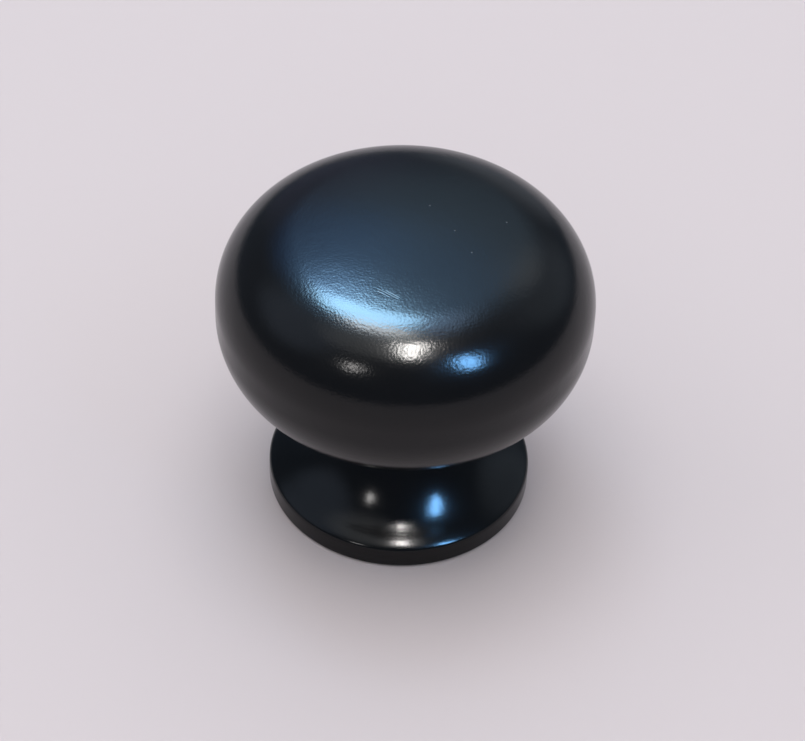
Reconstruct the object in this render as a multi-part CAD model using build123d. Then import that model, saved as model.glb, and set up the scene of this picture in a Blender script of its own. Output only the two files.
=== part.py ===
from build123d import *
import math
import os

# Cabinet knob, turned from one bar: a round head with a gently domed crown, a waisted neck and a flared foot.
# The axis is +Z. The origin is the middle of the foot's flat face, which seats on the door or drawer front.

# Head, in millimetres and degrees
HEAD_DIAMETER = 38.0
SHOULDER_RADIUS = 8.3
SIDE_HEIGHT = 1.7
UNDERSIDE_RADIUS = 8.3
SHOULDER_END_ANGLE = 66.0
CROWN_EDGE_RADIUS = 14.0
CROWN_RADIUS = 60.0

# Neck
NECK_DIAMETER = 13.2
NECK_LENGTH = 1.1
WAIST_RADIUS = 3.4

# Foot
FOOT_DIAMETER = 27.2
FLARE_RADIUS = 12.0
FLARE_END_SLOPE = 28.3
LIP_RADIUS = 11.0
LIP_END_SLOPE = 35.0
RIM_HEIGHT = 2.2
RIM_EDGE_RADIUS = 0.5
SEAT_CHAMFER = 0.3

# Blind hole tapped for an M4 machine screw, drilled from the foot's face
TAP_DRILL_DIAMETER = 3.3
TAPPED_DEPTH = 12.0
COUNTERSINK_DIAMETER = 4.4
COUNTERSINK_ANGLE = 90.0
DRILL_POINT_ANGLE = 118.0


def section_arc(centre, radius, start_angle, end_angle):
    """An arc of the half section, from one angle to another, both in degrees from the radial direction."""
    return CenterArc(centre, radius, start_angle, end_angle - start_angle)


def bearing(start, end):
    """The angle in degrees from one point of the half section to another."""
    return math.degrees(math.atan2(end[1] - start[1], end[0] - start[0]))


def beyond(start, distance, angle):
    """The point of the half section that lies a distance from another, at an angle in degrees."""
    turn = math.radians(angle)
    return (start[0] + distance * math.cos(turn), start[1] + distance * math.sin(turn))


def leg(hypotenuse, other):
    """The other short side of a right triangle, for two arcs that are tangent at a known radial spacing."""
    return math.sqrt(hypotenuse**2 - other**2)


def knob_section():
    """The half section in X and Z: every arc is tangent to the next, from the seat up to the crown."""
    head_radius = HEAD_DIAMETER / 2
    neck_radius = NECK_DIAMETER / 2
    foot_radius = FOOT_DIAMETER / 2

    # Rounded rim edge and lip, the wide hollow flare above them, and the waist that takes the flare up to the neck
    lip_end = 90.0 - LIP_END_SLOPE
    flare_end = 90.0 - FLARE_END_SLOPE
    edge = (foot_radius - RIM_EDGE_RADIUS, RIM_HEIGHT)
    lip = beyond(edge, RIM_EDGE_RADIUS - LIP_RADIUS, lip_end)
    flare = beyond(lip, LIP_RADIUS + FLARE_RADIUS, flare_end)
    waist_r = neck_radius + WAIST_RADIUS
    waist = (waist_r, flare[1] - leg(FLARE_RADIUS - WAIST_RADIUS, flare[0] - waist_r))
    flare_top = bearing(flare, waist) % 360

    # Short straight neck, the waist's upper half, and the rounded underside and shoulder with a straight side between
    neck_top = (waist_r, waist[1] + NECK_LENGTH)
    underside_r = head_radius - UNDERSIDE_RADIUS
    underside = (underside_r, neck_top[1] + leg(UNDERSIDE_RADIUS + WAIST_RADIUS, underside_r - waist_r))
    shoulder = (head_radius - SHOULDER_RADIUS, underside[1] + SIDE_HEIGHT)

    # Wide soft edge that takes the shoulder up to the crown, which is centred on the axis
    crown_edge = beyond(shoulder, SHOULDER_RADIUS - CROWN_EDGE_RADIUS, SHOULDER_END_ANGLE)
    crown = (0.0, crown_edge[1] - leg(CROWN_RADIUS - CROWN_EDGE_RADIUS, crown_edge[0]))
    crown_start = bearing(crown, crown_edge)
    top = beyond(crown, CROWN_RADIUS, 90.0)

    with BuildSketch(Plane.XZ) as section:
        with BuildLine():
            Polyline(
                (0.0, top[1]),
                (0.0, 0.0),
                (foot_radius - SEAT_CHAMFER, 0.0),
                (foot_radius, SEAT_CHAMFER),
                (foot_radius, RIM_HEIGHT),
            )
            section_arc(edge, RIM_EDGE_RADIUS, 0.0, lip_end)
            section_arc(lip, LIP_RADIUS, lip_end, flare_end)
            section_arc(flare, FLARE_RADIUS, flare_end + 180.0, flare_top)
            section_arc(waist, WAIST_RADIUS, flare_top, 180.0)
            Line((neck_radius, waist[1]), (neck_radius, neck_top[1]))
            section_arc(neck_top, WAIST_RADIUS, 180.0, bearing(neck_top, underside))
            section_arc(underside, UNDERSIDE_RADIUS, bearing(underside, neck_top), 0.0)
            Line((head_radius, underside[1]), (head_radius, shoulder[1]))
            section_arc(shoulder, SHOULDER_RADIUS, 0.0, SHOULDER_END_ANGLE)
            section_arc(crown_edge, CROWN_EDGE_RADIUS, SHOULDER_END_ANGLE, crown_start)
            section_arc(crown, CROWN_RADIUS, crown_start, 90.0)
        make_face()
    return section.sketch


def screw_hole():
    """What the drill and the countersink take out: a straight hole with a drill point, and a chamfered mouth."""
    drill_radius = TAP_DRILL_DIAMETER / 2
    mouth_radius = COUNTERSINK_DIAMETER / 2
    mouth_depth = (mouth_radius - drill_radius) / math.tan(math.radians(COUNTERSINK_ANGLE / 2))
    point_depth = drill_radius / math.tan(math.radians(DRILL_POINT_ANGLE / 2))
    with BuildPart() as hole:
        with BuildSketch(Plane.XZ):
            with BuildLine():
                Polyline(
                    (0.0, 0.0),
                    (mouth_radius, 0.0),
                    (drill_radius, mouth_depth),
                    (drill_radius, TAPPED_DEPTH),
                    (0.0, TAPPED_DEPTH + point_depth),
                    close=True,
                )
            make_face()
        revolve(axis=Axis.Z)
    return hole.part


def knob():
    """The turned blank with its screw hole."""
    blank = revolve(knob_section(), axis=Axis.Z)
    return blank - screw_hole()


os.makedirs("parts", exist_ok=True)
export_step(knob(), "parts/knob.step")
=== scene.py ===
import math

import bpy
from mathutils import Matrix, Vector


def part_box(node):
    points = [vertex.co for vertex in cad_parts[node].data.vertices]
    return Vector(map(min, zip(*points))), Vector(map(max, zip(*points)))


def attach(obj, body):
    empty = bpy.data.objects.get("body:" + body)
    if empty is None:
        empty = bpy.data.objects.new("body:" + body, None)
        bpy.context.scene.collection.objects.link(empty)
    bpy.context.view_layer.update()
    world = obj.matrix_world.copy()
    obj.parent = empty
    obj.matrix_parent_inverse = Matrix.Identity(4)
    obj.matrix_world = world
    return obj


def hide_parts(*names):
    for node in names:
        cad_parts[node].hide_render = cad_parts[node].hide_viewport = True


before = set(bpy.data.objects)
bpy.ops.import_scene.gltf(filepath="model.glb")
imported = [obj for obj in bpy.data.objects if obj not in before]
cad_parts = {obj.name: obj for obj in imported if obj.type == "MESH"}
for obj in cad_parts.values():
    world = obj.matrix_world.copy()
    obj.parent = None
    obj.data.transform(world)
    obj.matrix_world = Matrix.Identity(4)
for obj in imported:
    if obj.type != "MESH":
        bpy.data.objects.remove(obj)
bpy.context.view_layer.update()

# Knob: head, neck and foot turned in one piece from metal bar, so there is no seam, and sprayed satin black.
# The outline is a run of tangent arcs, and the edges that the tool left sharp are only just broken.
# A screw from behind the door pulls it up by the M4 thread tapped into its foot.
MM = 0.001
knob_low, knob_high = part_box("knob")
height = knob_high[2] - knob_low[2]

# Head
head_radius = (knob_high[0] - knob_low[0]) / 2
shoulder_radius = 8.3 * MM
side_height = 1.7 * MM
underside_radius = 8.3 * MM
shoulder_end = 66
crown_edge_radius = 14 * MM
crown_radius = 60 * MM

# Neck
neck_radius = 6.6 * MM
neck_length = 1.1 * MM
waist_radius = 3.4 * MM

# Foot
foot_radius = 13.6 * MM
flare_radius = 12 * MM
flare_end_slope = 28.3
lip_radius = 11 * MM
lip_end_slope = 35
rim_height = 2.2 * MM
rim_edge_radius = 0.5 * MM
seat_chamfer = 0.3 * MM
broken_edge = 0.06 * MM

# Threaded hole, with the groove's half widths as shares of the pitch
drill_radius = 1.65 * MM
mouth_radius = 2.2 * MM
tapped_depth = 12 * MM
drill_point_angle = 118
thread_pitch = 0.7 * MM
thread_depth = 0.35 * MM
groove_half_width = 0.37
groove_floor_half_width = 0.08
thread_start_pitches = 0.5
thread_end_pitches = 2

# Spacing of the mesh
ROW = 0.35 * MM
FLAT_ROW = 2 * MM
FEWEST_ARC_STEPS = 4
CORNER_STEPS = 4
ROWS_PER_PITCH = 9
AROUND = 192


def leg(hypotenuse, other):
    """The other short side of a right triangle."""
    return math.sqrt(hypotenuse**2 - other**2)


def bearing(start, end):
    """The angle in degrees from one point of the half section to another."""
    return math.degrees(math.atan2(end[1] - start[1], end[0] - start[0]))


def beyond(start, distance, angle):
    """The point of the half section that lies a distance from another, at an angle in degrees."""
    turn = math.radians(angle)
    return (start[0] + distance * math.cos(turn), start[1] + distance * math.sin(turn))


def arc(centre, radius, start, end):
    """Points along an arc of the half section, from one angle to another."""
    steps = max(FEWEST_ARC_STEPS, math.ceil(abs(math.radians(end - start)) * radius / ROW))
    return [beyond(centre, radius, start + (end - start) * i / steps) for i in range(steps + 1)]


def run(start, end, longest=ROW):
    """Points along a straight stretch of the half section."""
    steps = max(1, math.ceil(math.dist(start, end) / longest))
    return [tuple(a + (b - a) * i / steps for a, b in zip(start, end)) for i in range(steps + 1)]


def corner(before, at, after):
    """Points round a sharp corner that is only just broken."""
    tip = Vector(at)
    start = tip - (tip - Vector(before)).normalized() * broken_edge
    end = tip + (Vector(after) - tip).normalized() * broken_edge
    shares = [i / CORNER_STEPS for i in range(CORNER_STEPS + 1)]
    return [tuple(start * (1 - s) ** 2 + tip * 2 * s * (1 - s) + end * s**2) for s in shares]


# Centres of the arcs, each tangent to the next, from the rim up to the crown
lip_end = 90 - lip_end_slope
flare_end = 90 - flare_end_slope
edge = (foot_radius - rim_edge_radius, rim_height)
lip = beyond(edge, rim_edge_radius - lip_radius, lip_end)
flare = beyond(lip, lip_radius + flare_radius, flare_end)
waist_r = neck_radius + waist_radius
waist = (waist_r, flare[1] - leg(flare_radius - waist_radius, flare[0] - waist_r))
flare_top = bearing(flare, waist) % 360
neck_top = (waist_r, waist[1] + neck_length)
underside_r = head_radius - underside_radius
underside = (underside_r, neck_top[1] + leg(underside_radius + waist_radius, underside_r - waist_r))
shoulder = (head_radius - shoulder_radius, underside[1] + side_height)
crown_edge = beyond(shoulder, shoulder_radius - crown_edge_radius, shoulder_end)
crown = (0.0, height - crown_radius)
crown_start = bearing(crown, crown_edge)

# Half section, from the hole's mouth round the outside to the crown
mouth_cone_top = (drill_radius, mouth_radius - drill_radius)
mouth = (mouth_radius, 0.0)
seat_edge = (foot_radius - seat_chamfer, 0.0)
rim_low = (foot_radius, seat_chamfer)
rim_high = (foot_radius, rim_height)
outline = [
    *corner(mouth_cone_top, mouth, seat_edge),
    *run(mouth, seat_edge, FLAT_ROW)[1:-1],
    *corner(mouth, seat_edge, rim_low),
    *corner(seat_edge, rim_low, rim_high),
    *run(rim_low, rim_high)[1:-1],
    *arc(edge, rim_edge_radius, 0, lip_end),
    *arc(lip, lip_radius, lip_end, flare_end)[1:],
    *arc(flare, flare_radius, flare_end + 180, flare_top)[1:],
    *arc(waist, waist_radius, flare_top, 180)[1:],
    *arc(neck_top, waist_radius, 180, bearing(neck_top, underside)),
    *arc(underside, underside_radius, bearing(underside, neck_top), 0)[1:],
    *arc(shoulder, shoulder_radius, 0, shoulder_end),
    *arc(crown_edge, crown_edge_radius, shoulder_end, crown_start)[1:],
    *arc(crown, crown_radius, crown_start, 90)[1:-1],
]


def within(share):
    """A share held between nothing and the whole."""
    return min(1, max(0, share))


def thread_radius(turn, z):
    """The hole's radius at a height: its countersunk mouth, or the drilled wall with the tap's groove."""
    from_groove = abs((z / thread_pitch - turn / (2 * math.pi)) % 1 - 0.5)
    flank = within((groove_half_width - from_groove) / (groove_half_width - groove_floor_half_width))
    started = within(z / (thread_start_pitches * thread_pitch))
    left = within((tapped_depth - z) / (thread_end_pitches * thread_pitch))
    return max(mouth_radius - z, drill_radius + thread_depth * flank * started * left)


# Rings of points, from the hole's far end down its wall, over the foot's face and up the outside
turns = [2 * math.pi * i / AROUND for i in range(AROUND)]
rings = []
for _, z in run((0.0, tapped_depth), (0.0, broken_edge), thread_pitch / ROWS_PER_PITCH):
    bored = [(thread_radius(turn, z), turn) for turn in turns]
    rings.append([(r * math.cos(turn), r * math.sin(turn), z) for r, turn in bored])
for r, z in outline:
    rings.append([(r * math.cos(turn), r * math.sin(turn), z) for turn in turns])
points = [point for ring in rings for point in ring]
drill_tip = len(points)
points.append((0, 0, tapped_depth + drill_radius / math.tan(math.radians(drill_point_angle / 2))))
crown_top = len(points)
points.append((0, 0, height))
faces = []
for row in range(len(rings) - 1):
    for i in range(AROUND):
        a = row * AROUND + i
        b = row * AROUND + (i + 1) % AROUND
        faces.append((a, b, b + AROUND, a + AROUND))
last_ring = (len(rings) - 1) * AROUND
for i in range(AROUND):
    j = (i + 1) % AROUND
    faces.append((drill_tip, j, i))
    faces.append((last_ring + i, last_ring + j, crown_top))
mesh = bpy.data.meshes.new("knob_turned")
mesh.from_pydata(points, [], faces)
mesh.shade_smooth()
knob = bpy.data.objects.new("knob_turned", mesh)
bpy.context.collection.objects.link(knob)


class Wire:
    """A socket of a node tree. Arithmetic on it adds the nodes that work it out."""

    def __init__(self, tree, socket=None):
        self.tree = tree
        self.socket = socket

    def node(self, kind, settings, inputs, output=0):
        made = self.tree.nodes.new(kind)
        for name, value in settings.items():
            setattr(made, name, value)
        for name, value in inputs.items():
            if isinstance(value, Wire):
                self.tree.links.new(value.socket, made.inputs[name])
            else:
                made.inputs[name].default_value = value
        return Wire(self.tree, made.outputs[output])

    def combine(self, operation, first, second):
        kinds = {v.socket.type if isinstance(v, Wire) else type(v).__name__ for v in (first, second)}
        if not kinds & {"VECTOR", "RGBA", "tuple"}:
            return self.node("ShaderNodeMath", {"operation": operation}, {0: first, 1: second})
        first, second = [v if isinstance(v, (Wire, tuple)) else (v, v, v) for v in (first, second)]
        return self.node("ShaderNodeVectorMath", {"operation": operation}, {0: first, 1: second})

    def __add__(self, other):
        return self.combine("ADD", self, other)

    def __radd__(self, other):
        return self.combine("ADD", other, self)

    def __sub__(self, other):
        return self.combine("SUBTRACT", self, other)

    def __rsub__(self, other):
        return self.combine("SUBTRACT", other, self)

    def __mul__(self, other):
        return self.combine("MULTIPLY", self, other)

    def __rmul__(self, other):
        return self.combine("MULTIPLY", other, self)

    def dot(self, axis):
        return self.node("ShaderNodeVectorMath", {"operation": "DOT_PRODUCT"}, {0: self, 1: axis}, "Value")

    def size(self):
        single = self.socket.type == "VALUE"
        kind = "ShaderNodeMath" if single else "ShaderNodeVectorMath"
        operation = "ABSOLUTE" if single else "LENGTH"
        return self.node(kind, {"operation": operation}, {0: self}, "Value")

    def clamped(self, low, high):
        settings = {"interpolation_type": "SMOOTHSTEP"}
        return self.node("ShaderNodeMapRange", settings, {0: self, 1: low, 2: high})

    def mix(self, first, second):
        return self.node("ShaderNodeMix", {"data_type": "RGBA"}, {0: self, 6: first, 7: second}, 2)


# The knob's finish: black sprayed over the turned bar, so that tool rings and spray grain show in the shine.
# Use left a scuff of three fine lines near the front of the crown, and a few specks stand up from it.
# The thread was cut after spraying and is bare metal. Places and lengths here are in millimetres.
finish = bpy.data.materials.new("black_finish")
finish.use_nodes = True
coat = finish.node_tree.nodes["Principled BSDF"]
shader = Wire(finish.node_tree)
place = shader.node("ShaderNodeTexCoord", {}, {}, "Object") * (1 / MM)
up_axis = place.dot((0, 0, 1))
from_axis = (place * (1, 1, 0)).size()


def mottle(scale, detail):
    """Noise over the coat, from nothing to one."""
    return shader.node("ShaderNodeTexNoise", {}, {"Vector": place, "Scale": scale, "Detail": detail})


cloud = mottle(scale=0.12, detail=3.0)
peel = mottle(scale=0.9, detail=2.0)
grain = mottle(scale=4.5, detail=1.0)
ring_settings = {"wave_type": "RINGS", "rings_direction": "Z"}
tool_rings = shader.node("ShaderNodeTexWave", ring_settings, {"Vector": place, "Scale": 0.95}, "Fac")

# Where the coat changes: from foot to head, on the crown alone, and in the bare hole
FOOT_COAT_TOP = 6
HEAD_COAT_BOTTOM = 14
CROWN_FROM = height / MM - 3
CROWN_FULL = height / MM - 2
ABOVE_HOLE = 16
ABOVE_HOLE_FADE = 1
MOUTH_EDGE = 0.05
on_head = up_axis.clamped(FOOT_COAT_TOP, HEAD_COAT_BOTTOM)
on_crown = up_axis.clamped(CROWN_FROM, CROWN_FULL)
past_mouth = from_axis.clamped(mouth_radius / MM - MOUTH_EDGE, mouth_radius / MM)
bare = (1 - past_mouth) * (1 - up_axis.clamped(ABOVE_HOLE, ABOVE_HOLE + ABOVE_HOLE_FADE))

# Scuff: each line's distance across and along from the scuff's middle, and its half length
SCUFF_PLACE = (-1.68, -9.07, 0)
SCUFF_TURN = math.radians(-30.5)
SCUFF_LINES = [(-0.26, -0.35, 0.75), (0.0, 0.0, 1.35), (0.2, 0.4, 0.9)]
SCUFF_FLOOR = 0.02
SCUFF_EDGE = 0.09
SCUFF_FULL_SHARE = 0.7
beside = place - SCUFF_PLACE
along = beside.dot((math.cos(SCUFF_TURN), math.sin(SCUFF_TURN), 0))
across = beside.dot((-math.sin(SCUFF_TURN), math.cos(SCUFF_TURN), 0))


def scuff_line(offset, middle, half_length):
    """One fine line of the scuff, fading towards its ends."""
    narrow = 1 - (across - offset).size().clamped(SCUFF_FLOOR, SCUFF_EDGE)
    return narrow * (1 - (along - middle).size().clamped(SCUFF_FULL_SHARE * half_length, half_length))


scuff = on_crown * sum(scuff_line(*line) for line in SCUFF_LINES)

# Specks: each one's place on the crown
SPECKS = [(9.61, 2.09), (2.01, 3.32), (4.54, -0.16), (6.24, -2.98)]
SPECK_TOP = 0.03
SPECK_EDGE = 0.12


def raised_speck(x, y):
    """One round speck of dust under the spray."""
    return 1 - ((place - (x, y, 0)) * (1, 1, 0)).size().clamped(SPECK_TOP, SPECK_EDGE)


speck = on_crown * sum(raised_speck(x, y) for x, y in SPECKS)

# Colour, roughness and relief
DEEP_BLACK = (0.0045, 0.0045, 0.005, 1)
CLOUDED_BLACK = (0.0075, 0.0075, 0.0085, 1)
SPECK_GREY = (0.1, 0.11, 0.12, 1)
BARE_METAL = (0.32, 0.3, 0.27, 1)
FOOT_ROUGHNESS = 0.13
LACQUER_IOR = 1.34
MICRON = 1e-6
black = cloud.mix(DEEP_BLACK, CLOUDED_BLACK)
tone = bare.mix(speck.mix(black, SPECK_GREY), BARE_METAL)
roughness = FOOT_ROUGHNESS + 0.02 * on_head + 0.07 * cloud + 0.1 * scuff + 0.15 * bare
microns = 10 * peel + (3 + 8 * on_head) * grain + 0.5 * tool_rings + 12 * speck - 9 * scuff
relief = shader.node("ShaderNodeBump", {}, {"Strength": 1.0, "Distance": MICRON, "Height": microns})
finish.node_tree.links.new(tone.socket, coat.inputs["Base Color"])
finish.node_tree.links.new(bare.socket, coat.inputs["Metallic"])
finish.node_tree.links.new(roughness.socket, coat.inputs["Roughness"])
finish.node_tree.links.new(relief.socket, coat.inputs["Normal"])
coat.inputs["IOR"].default_value = LACQUER_IOR
mesh.materials.append(finish)
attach(knob, "root")
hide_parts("knob")

# Floor: a plain sheet of pale matt paper that the knob stands on.
# It lies flat and runs well past the picture on every side.
FLOOR_SIZE = 6
PAPER_COLOUR = (0.645, 0.595, 0.625, 1)
PAPER_ROUGHNESS = 0.9
bpy.ops.mesh.primitive_plane_add(size=FLOOR_SIZE)
floor = bpy.context.object
floor.name = "floor"
paper = bpy.data.materials.new("paper")
paper.use_nodes = True
paper.node_tree.nodes["Principled BSDF"].inputs["Base Color"].default_value = PAPER_COLOUR
paper.node_tree.nodes["Principled BSDF"].inputs["Roughness"].default_value = PAPER_ROUGHNESS
floor.data.materials.append(paper)

# Room: dim walls with soft glows, which show in what mirrors them and light nothing else.
# Each glow is given by where it lies, and by the angles from there at which it is full and has faded out.
ROOM_TINT = (0.07, 0.11, 0.16)
room = bpy.data.worlds.new("room")
bpy.context.scene.world = room
room.use_nodes = True
sky = Wire(room.node_tree)
direction = sky.node("ShaderNodeTexCoord", {}, {}, "Generated")


def glow(towards, inner, outer):
    """A soft round light on the room's walls, full within one angle and gone past another."""
    facing = direction.dot(tuple(Vector(towards).normalized()))
    return facing.clamped(math.cos(math.radians(outer)), math.cos(math.radians(inner)))


halo = glow((-0.08, 0.45, 0.89), inner=2, outer=30) * (0.3, 0.75, 1.5)
wall = glow((0.06, 0.62, 0.78), inner=6, outer=34) * (0.5, 0.76, 1.0)
blue_edge = glow((-0.28, 0.64, 0.71), inner=3, outer=20) * (0.0, 0.2, 0.75)
patch = glow((0.41, 0.59, 0.70), inner=3, outer=12) * (0.5, 0.45, 0.4)
corner_glow = glow((0.25, 0.95, 0.15), inner=2, outer=17) * (0.36, 0.38, 0.42)
right_glow = glow((0.72, 0.45, 0.52), inner=8, outer=30) * (0.32, 0.37, 0.43)
left_glow = glow((-0.72, -0.02, 0.68), inner=10, outer=30) * (0.4, 0.48, 0.62)
front_glow = glow((-0.22, -0.17, 0.96), inner=4, outer=24) * (1.0, 1.02, 1.02)
window_end = glow((0.13, 0.22, 0.967), inner=2, outer=12) * (2.0, 3.0, 4.6)
back_left = glow((-0.25, 0.92, 0.31), inner=4, outer=20) * (0.13, 0.12, 0.2)
back_glows = [halo, wall, blue_edge, patch, corner_glow, back_left]
near_glows = [right_glow, left_glow, front_glow, window_end]
walls = sum(back_glows + near_glows, ROOM_TINT)
room.node_tree.links.new(walls.socket, room.node_tree.nodes["Background"].inputs["Color"])
room.cycles_visibility.diffuse = False

# Lamps: a blue window, a ceiling lamp in two lengths and two small lamps, which are seen only in the coat.
# Wide soft panels that the coat doesn't mirror light the floor and the knob at a plain level.
LAMP_DISTANCE = 2.0
ACROSS = (1, 0, 0)
AWAY = (0, 1, 0)
UP = (0, 0, 1)
WINDOW_RUN = (-0.35, 0.17, -0.12)
SILL_RUN = (0.34, -0.165, 0.06)
DAYLIGHT = (0.37, 0.70, 1.0)
HIGH_DAYLIGHT = (0.28, 0.56, 1.0)
SILL_WHITE = (1.0, 0.98, 0.94)
CEILING_WHITE = (1.0, 0.97, 0.94)
LAMP_BLUE = (0.2, 0.52, 1.0)
WARM_WHITE = (1.0, 0.97, 0.95)
SOFT_WHITE = (1.0, 0.97, 0.97)


def panel(name, towards, lengthwise, colour, width, length, radiance, shape="ELLIPSE"):
    """A flat lamp that faces the knob, its width and length in degrees as the knob sees them."""
    data = bpy.data.lights.new(name, "AREA")
    data.shape = shape
    data.size = 2 * LAMP_DISTANCE * math.tan(math.radians(length / 2))
    data.size_y = 2 * LAMP_DISTANCE * math.tan(math.radians(width / 2))
    data.color = colour
    area = data.size * data.size_y * (math.pi / 4 if shape == "ELLIPSE" else 1)
    data.energy = radiance * math.pi * area
    lamp = bpy.data.objects.new(name, data)
    bpy.context.collection.objects.link(lamp)
    back = Vector(towards).normalized()
    side = (Vector(lengthwise) - back * back.dot(Vector(lengthwise))).normalized()
    facing = Matrix((side, back.cross(side), back)).transposed().to_4x4()
    lamp.matrix_world = Matrix.Translation(back * LAMP_DISTANCE) @ facing
    return lamp


def ceiling_panel(name, towards, width, length, radiance):
    """A square-ended length of the ceiling lamp, which runs away from the camera."""
    return panel(name, towards, AWAY, CEILING_WHITE, width, length, radiance, "RECTANGLE")


mirrored = [
    panel("window", (-0.15, 0.31, 0.94), WINDOW_RUN, DAYLIGHT, width=15, length=26, radiance=51),
    panel("window_top", (-0.22, 0.47, 0.855), WINDOW_RUN, HIGH_DAYLIGHT, width=11, length=13, radiance=11),
    panel("window_sill", (-0.12, 0.115, 0.986), SILL_RUN, SILL_WHITE, width=5, length=22, radiance=30),
    ceiling_panel("ceiling_lamp", (0.055, -0.216, 0.975), width=6, length=13, radiance=100),
    ceiling_panel("ceiling_strip", (0.055, -0.39, 0.919), width=4, length=5, radiance=155),
    panel("blue_lamp", (0.509, -0.479, 0.711), UP, LAMP_BLUE, width=9, length=19, radiance=70),
    panel("warm_lamp", (-0.409, -0.64, 0.647), UP, WARM_WHITE, width=6, length=9, radiance=22),
]
for lamp in mirrored:
    lamp.visible_diffuse = False
fills = [
    panel("wide_fill", (0, 0, 1), ACROSS, WARM_WHITE, width=130, length=130, radiance=0.62),
    panel("overhead_fill", (-0.06, 0.04, 1), ACROSS, WARM_WHITE, width=45, length=45, radiance=2.4),
    panel("left_fill", (-0.82, 0, 0.574), AWAY, SOFT_WHITE, width=50, length=50, radiance=0.5),
    panel("right_fill", (0.82, 0, 0.574), AWAY, SOFT_WHITE, width=50, length=50, radiance=0.25),
    panel("back_fill", (0, 0.6, 0.8), ACROSS, SOFT_WHITE, width=50, length=50, radiance=0.6),
    panel("front_fill", (0, -0.82, 0.574), ACROSS, SOFT_WHITE, width=50, length=50, radiance=0.35),
]
for lamp in fills:
    lamp.visible_glossy = False

# Camera: held in the hand a little out of level, looking down at nearly half a right angle.
# The picture's middle lies some pixels below the line of sight.
PICTURE_WIDTH = 805
MIDDLE_RIGHT = -0.73
MIDDLE_UP = -16.37
SENSOR_WIDTH = 36
FOCAL_LENGTH = 131.93
NEAREST_SEEN = 0.01
camera_distance = 0.3
aim = Vector((0, 0, 17.25 * MM))
tilt = math.radians(44.23)
lean = math.radians(2.42)
back = Vector((0, -math.cos(tilt), math.sin(tilt)))
level = Vector((1, 0, 0))
rise = Vector((0, math.sin(tilt), math.cos(tilt)))
right = level * math.cos(lean) + rise * math.sin(lean)
up = rise * math.cos(lean) - level * math.sin(lean)
view = bpy.data.cameras.new("camera")
view.sensor_width = SENSOR_WIDTH
view.lens = FOCAL_LENGTH
view.shift_x = MIDDLE_RIGHT / PICTURE_WIDTH
view.shift_y = MIDDLE_UP / PICTURE_WIDTH
view.clip_start = NEAREST_SEEN
camera = bpy.data.objects.new("camera", view)
bpy.context.collection.objects.link(camera)
turned = Matrix((right, up, back)).transposed().to_4x4()
camera.matrix_world = Matrix.Translation(aim + back * camera_distance) @ turned
bpy.context.scene.camera = camera
bpy.context.scene.view_settings.view_transform = "Standard"
